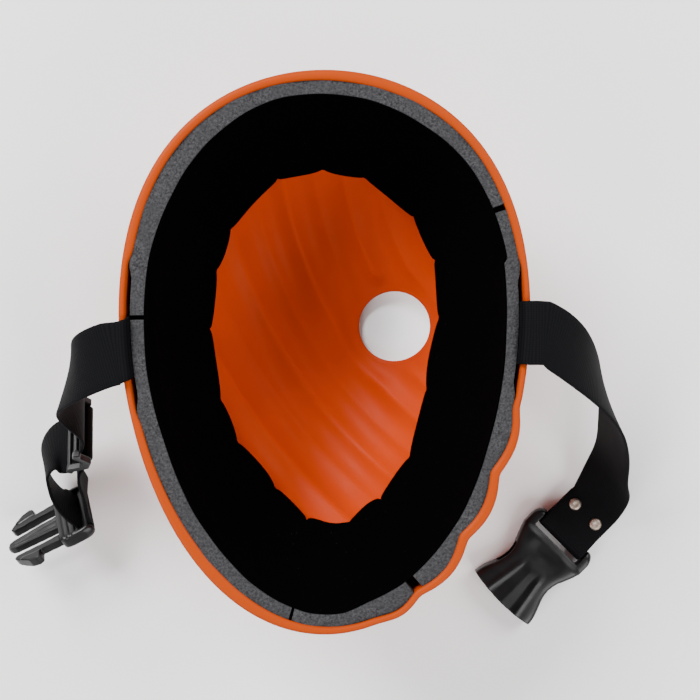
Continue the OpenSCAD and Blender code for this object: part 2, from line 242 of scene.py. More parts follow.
def ray_grid(angles, inset):
    """Rows of wall points from the eye hole to the lip, evenly spaced along each ray."""
    start = hole_start(angles, EYE_R + 0.6, inset)
    centre = disc(EYE)
    way = np.stack([np.cos(angles), np.sin(angles)], -1)
    end_radius = (1 - (LIP_R / MASK_D) ** DEPTH_POWER) ** (1 / RADIUS_POWER)
    b = way @ centre
    reach = -b + np.sqrt(b**2 - centre @ centre + end_radius**2)
    end = centre + reach[:, None] * way
    k = 1 - (1 - np.linspace(0, 1, 500)) ** 3
    fine = wall(start + k[:, None, None] * (end - start), inset)
    step = np.linalg.norm(np.diff(fine, axis=0), axis=-1)
    run = np.concatenate([np.zeros((1, len(angles))), np.cumsum(step, axis=0)])
    rows = np.empty((WALL_ROWS, len(angles), 3))
    for j in range(len(angles)):
        at = np.linspace(0, run[-1, j], WALL_ROWS)
        for c in range(3):
            rows[:, j, c] = np.interp(at, run[:, j], fine[:, j, c])
    return rows, end


def around(turn, bumps):
    """Sum of smooth bumps round the rim; each is an angle, a spread and a height."""
    return sum(
        high * np.exp(-((((turn - mid + 180) % 360 - 180) / spread) ** 2))
        for mid, spread, high in bumps
    )


def strap_zone(u, margin=0):
    """1 where a strap end is glued behind the foam."""
    turn = np.degrees(u)
    zones = [
        smooth(1 + (half + margin - np.abs((turn - mid + 180) % 360 - 180)) / 4)
        for mid, half in STRAP_ZONES
    ]
    return np.maximum(*zones)


def make_shell():
    angles = np.linspace(0, 2 * np.pi, RAYS, endpoint=False)
    outer, end = ray_grid(angles, 0.0)
    inner, _ = ray_grid(angles, SHELL_T)
    middle = (outer[-1] + inner[-1]) / 2
    side = unit((outer[-1] - inner[-1]) * [1, 1, 0])
    half = np.linalg.norm(outer[-1] - inner[-1], axis=-1)[:, None] / 2
    u = np.arctan2(end[:, 1], end[:, 0])
    bead = (around(np.degrees(u), LIP_BEAD) * (1 - strap_zone(u, 3)))[:, None] / 2
    lip = [
        middle - bead * side + (half + bead) * math.cos(a) * side + [0, 0, LIP_R * math.sin(a)]
        for a in np.linspace(0, np.pi, LIP_ROWS + 2)[1:]
    ]
    lip += [lip[-1] + out * bead * side + [0, 0, -down] for out, down in ((0.25, 0.5), (0.9, 0.9))]
    edge = []
    ring = np.stack([np.cos(angles), np.sin(angles)], -1)
    for share, radius in ((0.94, 0.18), (0.8, 0), (0.2, 0), (0.06, 0.18)):
        low = outer[0][:, 2]
        high = inner[0][:, 2]
        plan = EYE + (EYE_R + radius) * ring
        edge.append(np.concatenate([plan, (low + share * (high - low))[:, None]], -1))
    rows = list(outer) + lip + list(inner[-2::-1]) + edge
    return loops_object("mask_shell", rows, closed=True, sharp=75)


# ---- Liner -------------------------------------------------------------------------------------

STRIPS = {
    "top": (32.5, 172.5),
    "left": (173.5, 258.5),
    "chin": (259.5, 299.0),
    "right": (302.0, 391.0),
}
# The facings meet at these angles and cover the gaps between the foam strips.
FACING_ENDS = {
    "top": (31.7, 173.0),
    "left": (173.0, 259.0),
    "chin": (259.0, 300.5),
    "right": (300.5, 391.7),
}
# How the lower edge wanders: angle, spread in degrees, and extra depth.
EDGE_WAVES = ((95, 38, -8.0), (350, 22, 7.0), (275, 14, -3.5), (233, 17, 5.5))
CUT_STEP = 1.0
STRIP_ROWS = 36
FACING_T = 0.7
PLUMP = 0.8
# Where the foam stands thicker along its upper edge: angle, spread in degrees, extra thickness.
THICK_EDGES = (
    (134, 30, 4.4),
    (205, 42, 2.6),
    (240, 18, 1.6),
    (65, 26, 2.6),
    (320, 30, -1.8),
    (12, 20, -0.6),
)


def foam_face(u, t):
    """Inset of the foam's inner face, with a slow unevenness of its own."""
    deep = smooth((t * MASK_D - 6) / 12)
    turn = np.degrees(u) % 360
    cheek = smooth((turn - 276) / 12) * (1 - smooth((turn - 372) / 8)) + (turn < 20)
    cheek = np.clip(cheek + smooth(1 - np.abs((turn + 180) % 360 - 180) / 20), 0, 1)
    brow = 1 - smooth((t * MASK_D - 6) / 46)
    side = around(turn, THICK_EDGES)
    wander = 0.25 * np.sin(5 * u + 1) + 0.2 * np.sin(13 * u) * np.cos(20 * t)
    plain = SHELL_T + FOAM_GAP + FOAM_T + PLUMP + POCKET * np.maximum(deep, cheek)
    return plain + side * brow + wander


def foam_back(u, t):
    """Inset of the foam's glued face, which lies on the shell or on a strap end."""
    free = SHELL_T + flutes(u, t) + 0.3
    return free + (SHELL_T + FOAM_GAP + POCKET - free) * strap_zone(u)


def lower_edge(first, last, u, cut):
    """Depth of a strip's lower edge: shallow lobes with a cusp between them."""
    turn = np.degrees(u)
    lobes = round((last - first) / 20.5)
    share = (turn - first) / (last - first)
    k = share * lobes
    k = k + 0.2 * np.sin(2.1 * k + first) * np.sin(np.pi * share)
    return LINER_DEPTH - cut + 3.2 * np.abs(np.sin(np.pi * k)) ** 0.5 + around(turn, EDGE_WAVES)


def strip_grid(span, top, cut, inset):
    first, last = span
    count = int((last - first) / CUT_STEP) + 1
    u = np.radians(np.linspace(first, last, count))
    low = lower_edge(first, last, u, cut)
    rise = 0.35 * np.sin(9 * u) + 0.25 * np.sin(31 * u)
    depth = top + rise + (low - top - rise) * (np.linspace(0, 1, STRIP_ROWS)[:, None])
    t = depth / MASK_D
    uu = np.broadcast_to(u, t.shape)
    return dome(uu, t, inset(uu, t))


def make_slab(name, front, back, sharp=50):
    """A closed plate between two grids of points, its rims slightly rounded."""
    cols = front.shape[1]
    middle = (front + back) / 2
    edge_front = middle + 0.6 * (front - middle)
    edge_back = middle - 0.6 * (front - middle)
    rings = []
    for j in range(cols):
        f = front[:, j]
        b = back[:, j]
        over = unit(f[0] - f[1])
        under = unit(f[-1] - f[-2])
        ring = list(f) + [edge_front[-1, j] + 0.35 * under, edge_back[-1, j] + 0.35 * under]
        ring += list(b[::-1]) + [edge_back[0, j] + 0.35 * over, edge_front[0, j] + 0.35 * over]
        rings.append(ring)
    return loops_object(name, rings, closed=False, sharp=sharp)


def make_foam(name):
    front = strip_grid(STRIPS[name], FOAM_DROP, 3.0, foam_face)
    back = strip_grid(STRIPS[name], FOAM_DROP, 3.0, foam_back)
    return make_slab("foam_" + name, front, back)


def make_facing(name):
    span = FACING_ENDS[name]
    front = strip_grid(span, 3.2, 0.8, lambda u, t: foam_face(u, t) + 0.08 + FACING_T)
    back = strip_grid(span, 3.2, 0.8, lambda u, t: foam_face(u, t) + 0.08)
    return make_slab("facing_" + name, front, back)


# ---- Webbing -----------------------------------------------------------------------------------

# Across the strap: distance from its middle line as a share of the half width, and thickness.
PROFILE = ((-1, 0.3), (-0.985, 0.75), (-0.95, 1), (-0.75, 1), (-0.5, 1), (-0.25, 1), (0, 1))
PROFILE += tuple((-s, t) for s, t in PROFILE[-2::-1])


def catmull(a, b, c, d, k):
    return 0.5 * (
        2 * b + (c - a) * k + (2 * a - 5 * b + 4 * c - d) * k**2 + (3 * b - a - 3 * c + d) * k**3
    )


def curve(stations, steps=10):
    """The CAD's curve through stations, as centres and face directions."""
    s = [np.concatenate([centre, face]) for centre, face in stations]
    path = []
    for i in range(1, len(s) - 2):
        last = i == len(s) - 3
        for j in range(steps + 1 if last else steps):
            path.append(catmull(s[i - 1], s[i], s[i + 1], s[i + 2], j / steps))
    return np.array(path)


def lengths_along(line):
    """Distance of each point from the first, along the line."""
    return np.concatenate([[0], np.cumsum(np.linalg.norm(np.diff(line, axis=0), axis=-1))])


def across_lines(path):
    """Rows of points across a flat strap along a path of centres and face directions."""
    centre, face = path[:, :3], path[:, 3:]
    ahead = np.vstack([centre[1:], centre[-1:]]) - np.vstack([centre[:1], centre[:-1]])
    width = unit(np.cross(face, ahead))
    spread = np.array([s for s, _ in PROFILE]) * WEB_W / 2
    return centre[:, None] + spread[None, :, None] * width[:, None]


def make_band(name, rows):
    """A woven strap over rows of points, with rounded selvedges and a flat cut end."""
    rows = np.asarray(rows)
    ahead = np.vstack([rows[1:], rows[-1:]]) - np.vstack([rows[:1], rows[:-1]])
    across = np.gradient(rows, axis=1)
    normal = unit(np.cross(across, ahead))
    half = np.array([t for _, t in PROFILE])[None, :, None] * WEB_T / 2
    front = rows + half * normal
    back = rows - half * normal
    rings = np.concatenate([front, back[:, ::-1]], axis=1)
    obj = loops_object(name, rings, closed=False, sharp=70)
    run = lengths_along(rows[:, len(PROFILE) // 2])
    spread = [s * WEB_W / 2 for s, _ in PROFILE]
    flat = [(x, y) for y in run for x in spread + spread[::-1]]
    layer = obj.data.uv_layers.new(name="weave")
    for loop in obj.data.loops:
        x, y = flat[loop.vertex_index]
        layer.data[loop.index].uv = (x * MM * 10, y * MM * 10)
    return obj


def male_frame():
    turn, tilt = deg(208), deg(52)
    x = np.array([math.cos(turn), math.sin(turn), 0])
    y = np.array([-math.sin(turn) * math.cos(tilt), math.cos(turn) * math.cos(tilt), math.sin(tilt)])
    return np.array([-132.0, -86, 19]), x, y, np.cross(x, y)


def slide_frame():
    tilt, turn, lean = deg(30), deg(6), deg(-24)
    y = np.array([math.sin(turn) * math.cos(tilt), -math.cos(turn) * math.cos(tilt), math.sin(tilt)])
    plumb = unit(np.array([0, 0, -1]) + y[2] * y)
    x = math.cos(lean) * plumb + math.sin(lean) * np.cross(y, plumb)
    return np.array([-129.0, -42, 47]), x, y, np.cross(x, y)


def female_frame():
    x = np.array([math.cos(deg(225)), math.sin(deg(225)), 0])
    z = np.array([0, 0, 1.0])
    return np.array([129.2, -101.2, 6.2]), x, np.cross(z, x), z


MALE = male_frame()
SLIDE = slide_frame()
FEMALE = female_frame()


def hang(forward, up, face):
    bar, x, _, z = MALE
    return bar + forward * x + up * z, face[0] * x + face[1] * z


def straight(along, out):
    at, x, _, z = SLIDE
    return at + along * x + out * z, z


LEFT_HINGE = np.array([-101.0, -1.3, 117])
RIGHT_HINGE = np.array([101.0, 9, 117])
LEFT_SLANT = deg(16)
RIGHT_SLANT = 0.0
FOLD_TAIL = 22.0

LEFT_DROP = [
    ([-92, 1.2, 116], [0, 0, 1]),
    (LEFT_HINGE + WEB_GAP * np.array([-math.cos(LEFT_SLANT), -math.sin(LEFT_SLANT), -0.25]), [-0.15, 0, 1]),
    ([-109.5, -4.2, 114.3], [-0.38, 0, 0.94]),
    ([-117, -8, 108.5], [-0.7, 0.05, 0.7]),
    ([-123, -12.5, 98], [-0.88, 0.2, 0.4]),
    ([-127.5, -18, 85], [-0.95, 0.3, 0.1]),
    ([-126.5, -25, 72], [-0.97, 0.2, 0.1]),
    straight(-15.5, 0),
    straight(-5.5, 0),
]
LEFT_LAYER = [
    straight(5.5, 0),
    straight(15.5, 0),
    ([-144, -50, 32], [-0.7, 0.25, 0.6]),
    ([-149.8, -56.5, 31], [-0.85, 0.18, 0.45]),
    ([-150, -66, 28], [-0.95, 0.15, 0.25]),
    hang(6.4, 12, [0.97, -0.15]),
    hang(3.25, 5, [1, 0]),
    hang(3.25, 1.5, [1, 0]),
    hang(3.25, 0.1, [1, 0]),
    hang(3.25, -2, [1, 0]),
]
RETURN_LAYER = [
    straight(2, -4.85),
    straight(14, -4.85),
    ([-133.5, -56, 30], [-0.9, -0.1, 0.35]),
    ([-133, -65, 27.5], [-0.95, -0.3, 0.1]),
    ([-129.2, -74.5, 24.8], [-0.9, -0.35, 0]),
    hang(-3.25, 4.5, [1, 0]),
    hang(-3.25, 0.3, [1, 0]),
    hang(-3.25, -5, [1, 0]),
]
RIGHT_DROP = [
    ([92, 6.3, 116], [0, 0, 1]),
    (RIGHT_HINGE + WEB_GAP * np.array([1, -0.1, -0.3]), [0.2, 0, 1]),
    ([109.5, 6.5, 114.2], [0.35, 0.03, 0.94]),
    ([118, -0.5, 109], [0.55, 0.1, 0.82]),
    ([127.5, -9, 100.5], [0.75, 0.2, 0.6]),
    ([136.5, -19.5, 88], [0.9, 0.3, 0.3]),
    ([142.8, -31, 74], [0.93, 0.37, 0]),
    ([146.5, -42, 60], [0.88, 0.38, -0.14]),
    ([149.2, -52, 45], [0.85, 0.3, -0.27]),
    ([150.5, -61, 32], [0.8, 0.1, -0.48]),
    ([151, -69.5, 21], [0.4, -0.1, -0.85]),
    ([149.5, -78.5, 12.5], [0.15, -0.1, -1]),
    (FEMALE[0] - (FOLD_TAIL + 1) * FEMALE[1] + [0, 0, WEB_T / 2], [0, 0, -1]),
    ([135.4, -92.6, 12.5], [0, 0, -1]),
]

# Section of a glued end: inset from the shell's outer face, and height above the rim.
TUCK = ((4.15, -38), (4.15, -26), (4.15, -14), (4.15, -5), (4.05, -0.5), (3.3, 1.9), (1.8, 3), (-0.5, 3))


def glued_rows(side, hinge, slant):
    """Rows of a strap's glued end, from deep behind the foam up over the lip."""
    rows = []
    spread = np.array([s for s, _ in PROFILE]) * WEB_W / 2 * (-side)
    for i, (inset, height) in enumerate(TUCK):
        points = np.array(TUCK[i:])
        run = 4 + np.linalg.norm(np.diff(points, axis=0), axis=-1).sum()
        t = np.full(spread.shape, max(0, -height) / MASK_D)
        y = hinge[1] + spread * math.cos(slant) + run * math.sin(slant)
        radius = (1 - t**DEPTH_POWER) ** (1 / RADIUS_POWER)
        lift = np.arcsin(y / (MASK_H / 2 * radius))
        u = lift if side > 0 else np.pi - lift
        rows.append(dome(u, t, np.full(spread.shape, inset)) + [0, 0, max(0, height)])
    away = np.array([side * math.cos(slant), -math.sin(slant), 0])
    across = np.array([side * math.sin(slant), math.cos(slant), 0])
    rows.append(hinge - WEB_GAP * away + spread[:, None] * across)
    return rows


def refine(rows, steps):
    """More rows on a smooth curve through the given ones."""
    rows = [2 * rows[0] - rows[1], *rows, 2 * rows[-1] - rows[-2]]
    fine = []
    for i in range(1, len(rows) - 2):
        for j in range(steps):
            fine.append(catmull(rows[i - 1], rows[i], rows[i + 1], rows[i + 2], j / steps))
    fine.append(rows[-2])
    return fine


def turn_rows(centre, x, y, z, radius, start, stop, steps=16):
    """Rows of a strap's turn round a bar; angles from x towards z."""
    rows = []
    spread = np.array([s for s, _ in PROFILE]) * WEB_W / 2
    for a in np.linspace(start, stop, steps):
        c = centre + radius * (math.cos(a) * x + math.sin(a) * z)
        rows.append(c + spread[:, None] * y)
    return rows


def eased(rows, passes):
    """The same strap with its kinks worn smooth; its ends stay where they are."""
    middle = rows.shape[1] // 2
    centre = rows[:, middle]
    run = lengths_along(centre)
    at = np.linspace(0, run[-1], int(run[-1] / 1.5) + 1)
    width = unit(rows[:, -1] - rows[:, 0])
    line = np.stack([np.interp(at, run, v) for v in np.hstack([centre, width]).T], -1)
    for _ in range(passes):
        line[2:-2] = (line[1:-3] + 2 * line[2:-2] + line[3:-1]) / 4
        line[:, 3:] = unit(line[:, 3:])
    spread = np.array([s for s, _ in PROFILE]) * WEB_W / 2
    return line[:, None, :3] + spread[None, :, None] * line[:, None, 3:]


def make_left_webbing():
    glued = glued_rows(-1, LEFT_HINGE, LEFT_SLANT)
    hinge = across_lines(curve(LEFT_DROP))
    free = eased(np.concatenate([hinge, across_lines(curve(LEFT_LAYER))]), 14)
    if np.linalg.norm(free[0][0] - glued[-1][0]) > np.linalg.norm(free[0][-1] - glued[-1][0]):
        glued = [row[::-1] for row in glued]
    start = refine(glued + [free[0]], 6)[:-1]
    bar, x, y, z = MALE
    turn = turn_rows(bar, x, y, z, BAR_R + 0.3 + WEB_T / 2, 0, -math.pi)
    if np.linalg.norm(free[-1][0] - turn[0][0]) > np.linalg.norm(free[-1][-1] - turn[0][0]):
        turn = [row[::-1] for row in turn]
    return make_band("left_webbing", list(start) + list(free) + turn[1:])


def make_return_webbing():
    layer = eased(across_lines(curve(RETURN_LAYER))[::-1], 8)
    at, x, y, z = SLIDE
    bar = at + MID_BAR_OUT * z
    low, high = -math.pi / 2, -1.5 * math.pi
    turn = turn_rows(bar, x, y, z, MID_BAR_R + 0.25 + WEB_T / 2, low, high)
    close = WEB_T / 2 + 0.05
    near = turn_rows(bar + 7 * x, x, y, z, close, low, low, 1)
    far = turn_rows(bar + 7 * x, x, y, z, close, high, high, 1)
    tail = turn_rows(bar + 13.5 * x, x, y, z, close, high, high, 1)
    sewn = refine(near + turn[::3] + far + tail, 5)
    if np.linalg.norm(layer[-1][0] - sewn[0][0]) > np.linalg.norm(layer[-1][-1] - sewn[0][0]):
        layer = layer[:, ::-1]
    return make_band("return_webbing", list(layer) + sewn)


def make_right_webbing():
    glued = glued_rows(1, RIGHT_HINGE, RIGHT_SLANT)
    free = eased(across_lines(curve(RIGHT_DROP)), 70)
    if np.linalg.norm(free[0][0] - glued[-1][0]) > np.linalg.norm(free[0][-1] - glued[-1][0]):
        glued = [row[::-1] for row in glued]
    start = refine(glued + [free[0]], 6)[:-1]
    bar, x, y, z = FEMALE
    r = BAR_R + 0.3 + WEB_T / 2
    lead = turn_rows(bar - 10 * x, x, y, z, WEB_T / 2 + 0.05, math.pi / 2, math.pi / 2, 1)
    turn = turn_rows(bar, x, y, z, r, 0.5 * math.pi, -0.5 * math.pi)
    tail = turn_rows(bar - 10 * x, x, y, z, WEB_T / 2 + 0.05, -math.pi / 2, -math.pi / 2, 1)
    tail += turn_rows(bar - FOLD_TAIL * x, x, y, z, WEB_T / 2 + 0.05, -math.pi / 2, -math.pi / 2, 1)
    folded = refine(lead + turn[::3] + [turn[-1]] + tail, 5)
    if np.linalg.norm(free[-1][0] - folded[0][0]) > np.linalg.norm(free[-1][-1] - folded[0][0]):
        folded = [row[::-1] for row in folded]
    return make_band("right_webbing", list(start) + list(free) + folded)


# ---- Moulded parts -----------------------------------------------------------------------------


def placing(frame_of):
    """Matrix from a part's own millimetres to the scene."""
    at, x, y, z = frame_of
    m = Matrix.Identity(4)
    for row in range(3):
        for col, axis in enumerate((x, y, z)):
            m[row][col] = axis[row] * MM
        m[row][3] = (at[row] + ORIGIN[row]) * MM
    return m


def box(x0, x1, y0, y1, z0, z1):
    verts = [(x, y, z) for x in (x0, x1) for y in (y0, y1) for z in (z0, z1)]
    faces = [(0, 1, 3, 2), (4, 6, 7, 5), (0, 4, 5, 1), (2, 3, 7, 6), (0, 2, 6, 4), (1, 5, 7, 3)]
    return verts, faces


def skin(rings):
    """Closed solid over open rows of rings, as vertices and faces."""
    size = len(rings[0])
    faces = []
    for i in range(len(rings) - 1):
        for j in range(size):
            k = (j + 1) % size
            faces.append((i * size + j, i * size + k, (i + 1) * size + k, (i + 1) * size + j))
    faces.append(tuple(reversed(range(size))))
    faces.append(tuple(range((len(rings) - 1) * size, len(rings) * size)))
    return [tuple(p) for ring in rings for p in ring], faces


def prism(outline, z0, z1):
    """An outline in x and y, between two heights."""
    return skin([[(x, y, z) for x, y in outline] for z in (z0, z1)])


def rail(outline, y0, y1):
    """An outline in x and z, between two sides."""
    return skin([[(x, y, z) for x, z in outline] for y in (y0, y1)])


def rod(x, z, radius, y0, y1, sides=40):
    ring = [(2 * math.pi * i / sides) for i in range(sides)]
    return skin([[(x + radius * math.cos(a), y, z + radius * math.sin(a)) for a in ring] for y in (y0, y1)])


def swept(stations, sides=96, power=5.0, relief=None, bulge=0.0):
    """Superellipse sections along x; stations are x, half width and half height."""
    rings = []
    length = stations[-1][0] - stations[0][0]
    for x, width, height in stations:
        ring = []
        for i in range(sides):
            a = 2 * math.pi * i / sides
            c, s = math.cos(a), math.sin(a)
            y = width * math.copysign(abs(c) ** (2 / power), c)
            z = height * math.copysign(abs(s) ** (2 / power), s)
            lift = relief(x, y) if relief and s > 0 else 0.0
            ahead = bulge * (1 - (y / width) ** 2) * (x - stations[0][0]) / length
            ring.append((x + ahead, y, z + lift * abs(s) ** 0.3))
        rings.append(ring)
    return skin(rings)


def raw_object(name, solids):
    verts, faces = [], []
    for part_verts, part_faces in solids:
        base = len(verts)
        verts += part_verts
        faces += [tuple(base + i for i in face) for face in part_faces]
    mesh = bpy.data.meshes.new(name)
    mesh.from_pydata(verts, [], faces)
    mesh.update()
    obj = bpy.data.objects.new(name, mesh)
    bpy.context.scene.collection.objects.link(obj)
    fix_normals(obj)
    return obj


def bake(obj):
    """Replaces an object's mesh with the result of its modifiers."""
    depsgraph = bpy.context.evaluated_depsgraph_get()
    mesh = bpy.data.meshes.new_from_object(obj.evaluated_get(depsgraph))
    obj.modifiers.clear()
    obj.data = mesh


def remesh(obj, voxel):
    step = obj.modifiers.new("remesh", "REMESH")
    step.mode = "VOXEL"
    step.voxel_size = voxel
    bake(obj)


def moulded(name, frame_of, solids, cuts=(), voxel=0.34, rounds=7):
    """Joins overlapping solids, takes others away, and rounds every edge."""
    obj = raw_object(name, solids)
    remesh(obj, voxel)
    if cuts:
        for cut in cuts:
            cutter = raw_object(name + "_cut", [cut])
            step = obj.modifiers.new("cut", "BOOLEAN")
            step.operation = "DIFFERENCE"
            step.object = cutter
            bake(obj)
            bpy.data.objects.remove(cutter)
        remesh(obj, voxel)
    soften = obj.modifiers.new("soften", "SMOOTH")
    soften.factor = 0.5
    soften.iterations = rounds
    bake(obj)
    obj.data.transform(placing(frame_of))
    for polygon in obj.data.polygons:
        polygon.use_smooth = True
    obj.data.update()
    return obj


# ---- Buckle ------------------------------------------------------------------------------------

MALE_END_W = 37.0
FEMALE_END_W = 42.0
CHEEK_IN = WEB_W / 2 + 0.8
MALE_T = 9.0
FEMALE_T = 12.0
BODY_X = 6.4
MOUTH_X = 48.0
WAIST_HALF = 15.2
BUCKLE_W = 41.0


def bar_end(thick, reach_x, width):
    """The bar and the two rounded ears that carry it."""
    solids = [rod(0, 0, BAR_R, -CHEEK_IN - 0.5, CHEEK_IN + 0.5)]
    for side in (-1, 1):
        rings = []
        for i in range(9):
            k = i / 8
            y = side * (CHEEK_IN + k * (width / 2 - CHEEK_IN))
            radius = thick / 2 * math.sqrt(1 - 0.45 * k**3)
            arc = [math.pi * (0.5 + j / 16) for j in range(17)]
            ring = [(3.4 * k**3 + radius * math.cos(a), y, radius * math.sin(a)) for a in arc]
            rings.append(ring + [(reach_x + 1, y, -radius), (reach_x + 1, y, radius)])
        solids.append(skin(rings))
    return solids


def make_male_body():
    """The base with its bar and the flat guide tongue between the prongs."""
    half = MALE_END_W / 2
    base = [(5.2, half - 0.9, 4.1), (5.7, half - 0.1, 4.45), (7, half, 4.5), (10, half, 4.5)]
    base += [(13, half - 0.6, 4.5), (14.3, half - 1.3, 4.3), (14.9, half - 2.2, 3.8)]

    def relief(x, y):
        return -0.45 * math.exp(-(((x - 8.4) / 0.6) ** 2)) - 0.45 * math.exp(-(((x - 11.4) / 0.6) ** 2))

    fine_base = []
    for a, b in zip(base, base[1:]):
        fine_base += [tuple(p + (q - p) * k / 6 for p, q in zip(a, b)) for k in range(6)]
    fine_base.append(base[-1])
    tongue = [(13, -5), (13, 5), (41, 3.2), (45, 1.4), (45, -1.4), (41, -3.2)]
    solids = bar_end(MALE_T - 1, 6.6, MALE_END_W)
    solids.append(swept(fine_base, power=7, relief=relief))
    solids.append(prism(tongue, -1.5, 1.5))
    solids.append(prism([(13, -5), (13, -3.6), (44, -1), (44, -2.2), (41, -3.2)], -2.2, 2.2))
    solids.append(prism([(13, 3.6), (13, 5), (41, 3.2), (44, 2.2), (44, 1)], -2.2, 2.2))
    solids.append(prism([(13, -0.8), (13, 0.8), (44, 0.6), (44, -0.6)], -2.2, 2.2))
    return moulded("male_half", MALE, solids, rounds=5)


def make_prong(name, side):
    arm = [(15.2, 10.5), (15.2, 15), (27, 14.2), (27.5, 18.6), (30, 19.6), (34, 18.5)]
    arm += [(40.5, 13.5), (42, 11.5), (40.5, 10), (34, 10.2), (26, 10.6)]
    head = [(27.4, 14.6), (27.6, 18.7), (30, 19.6), (34, 18.5), (39, 14.7), (37, 13.6), (31, 14.6)]
    thin = [(x, side * y) for x, y in arm]
    thick = [(x, side * y) for x, y in head]
    return moulded(name, MALE, [prism(thin, -2.5, 2.5), prism(thick, -3, 3)], rounds=4)


def female_half_width(x):
    along = (x - BODY_X) / (MOUTH_X - BODY_X)
    end = FEMALE_END_W if along < 0.5 else BUCKLE_W
    return WAIST_HALF + (end / 2 - WAIST_HALF) * (1 + math.cos(2 * math.pi * along)) / 2


def female_relief(x, y):
    """Three fanned ribs towards the mouth, and a shallow thumb hollow near the bar."""
    fan = 0.5 + 0.5 * (x - 18) / 30
    ribs = sum(math.exp(-(((y - c * fan) / 1.7) ** 2)) for c in (-10.5, 0, 10.5))
    hollow = math.exp(-(((x - 14) / 4.5) ** 2) - (y / 9.5) ** 4)
    return 0.7 * ribs * float(smooth((x - 19) / 8)) - 0.8 * hollow


def make_female_body():
    stations = []
    for i in range(61):
        x = BODY_X + (MOUTH_X - BODY_X) * i / 60
        height = 5.1 + 0.9 * float(smooth((x - 10) / 26)) - 1.2 * (1 - float(smooth((x - 6) / 5)))
        stations.append((x, female_half_width(x), height))
    solids = bar_end(FEMALE_T - 4.5, BODY_X + 2, FEMALE_END_W)
    solids.append(swept(stations, sides=144, power=5.5, relief=female_relief, bulge=2.2))
    cuts = [box(13, 60, -13.5, 13.5, -3.6, 3.6), box(39, 60, -16.6, 16.6, -3.6, 3.6)]
    cuts.append(box(20, 35, -40, 40, -3.6, 3.6))
    return moulded("female_half", FEMALE, solids, cuts=cuts, rounds=7)


def make_adjuster():
    side_view = [(-10.7, 1.2), (-9.6, 4.4), (-6.4, 4.4), (-2.4, -1.6), (2.4, -1.6), (6.4, 4.4)]
    side_view += [(9.6, 4.4), (10.7, 1.2), (8, 0.6), (3.2, -6), (-3.2, -6), (-8, 0.6)]
    solids = [rod(x, 2.6, 1.3, -16.5, 16.5) for x in (-8.6, 8.6)]
    solids.append(rod(0, MID_BAR_OUT, MID_BAR_R, -16.5, 16.5))
    solids += [rail(side_view, *sorted((side * 15.5, side * 18.9))) for side in (-1, 1)]
    return moulded("slide_adjuster_frame", SLIDE, solids, voxel=0.3, rounds=5)


# ---- Rivets and stitching ----------------------------------------------------------------------

RIVET_X = -17.0
RIVET_PITCH = 15.6
STITCH_X = 8.8
STITCH_COUNT = 9
# Radius and height along a rivet's head, and along the washer behind it.
CAP = ((0, 1.1), (0.8, 1.12), (1.2, 1.26), (2.2, 1.2), (2.9, 0.95), (3.3, 0.5), (3.4, 0.15), (3.3, 0.0))
BACK = ((0, -0.75), (1.0, -0.8), (2.7, -0.78), (3.1, -0.6), (3.2, -0.3), (3.1, 0.0))


def lathed(profile, x, y, sides=48):
    """A closed solid turned about a line along z; the profile runs from the axis outwards."""
    turn = [2 * math.pi * i / sides for i in range(sides)]
    return skin([[(x + r * math.cos(a), y + r * math.sin(a), z) for a in turn] for r, z in profile[1:]])


def make_rivets(name, profile, height):
    solids = []
    for side in (-1, 1):
        verts, faces = lathed(profile, RIVET_X, side * RIVET_PITCH / 2)
        solids.append(([(x, y, z + height) for x, y, z in verts], faces))
    obj = raw_object(name, solids)
    obj.data.transform(placing(FEMALE))
    for polygon in obj.data.polygons:
        polygon.use_smooth = True
    obj.data.set_sharp_from_angle(angle=deg(50))
    return obj


def make_stitching():
    """A bar tack of slanted stitches that closes the sewn end."""
    solids = []
    for i in range(STITCH_COUNT):
        y = (i - (STITCH_COUNT - 1) / 2) * WEB_W / (STITCH_COUNT + 1)
        rings = []
        for k in range(9):
            s = -1 + k / 4
            r = 0.33 * math.sqrt(max(0.05, 1 - abs(s) ** 6))
            x = STITCH_X + 1.45 * s
            z = MID_BAR_OUT - WEB_T - 0.3 + 0.25 * s * s
            arc = [a * math.pi / 6 for a in range(12)]
            rings.append([(x, y + 0.5 * s + r * math.cos(a), z + r * math.sin(a)) for a in arc])
        solids.append(skin(rings))
    obj = raw_object("bar_tack", solids)
    obj.data.transform(placing(SLIDE))
    for polygon in obj.data.polygons:
        polygon.use_smooth = True
    return obj


# ---- Materials ---------------------------------------------------------------------------------


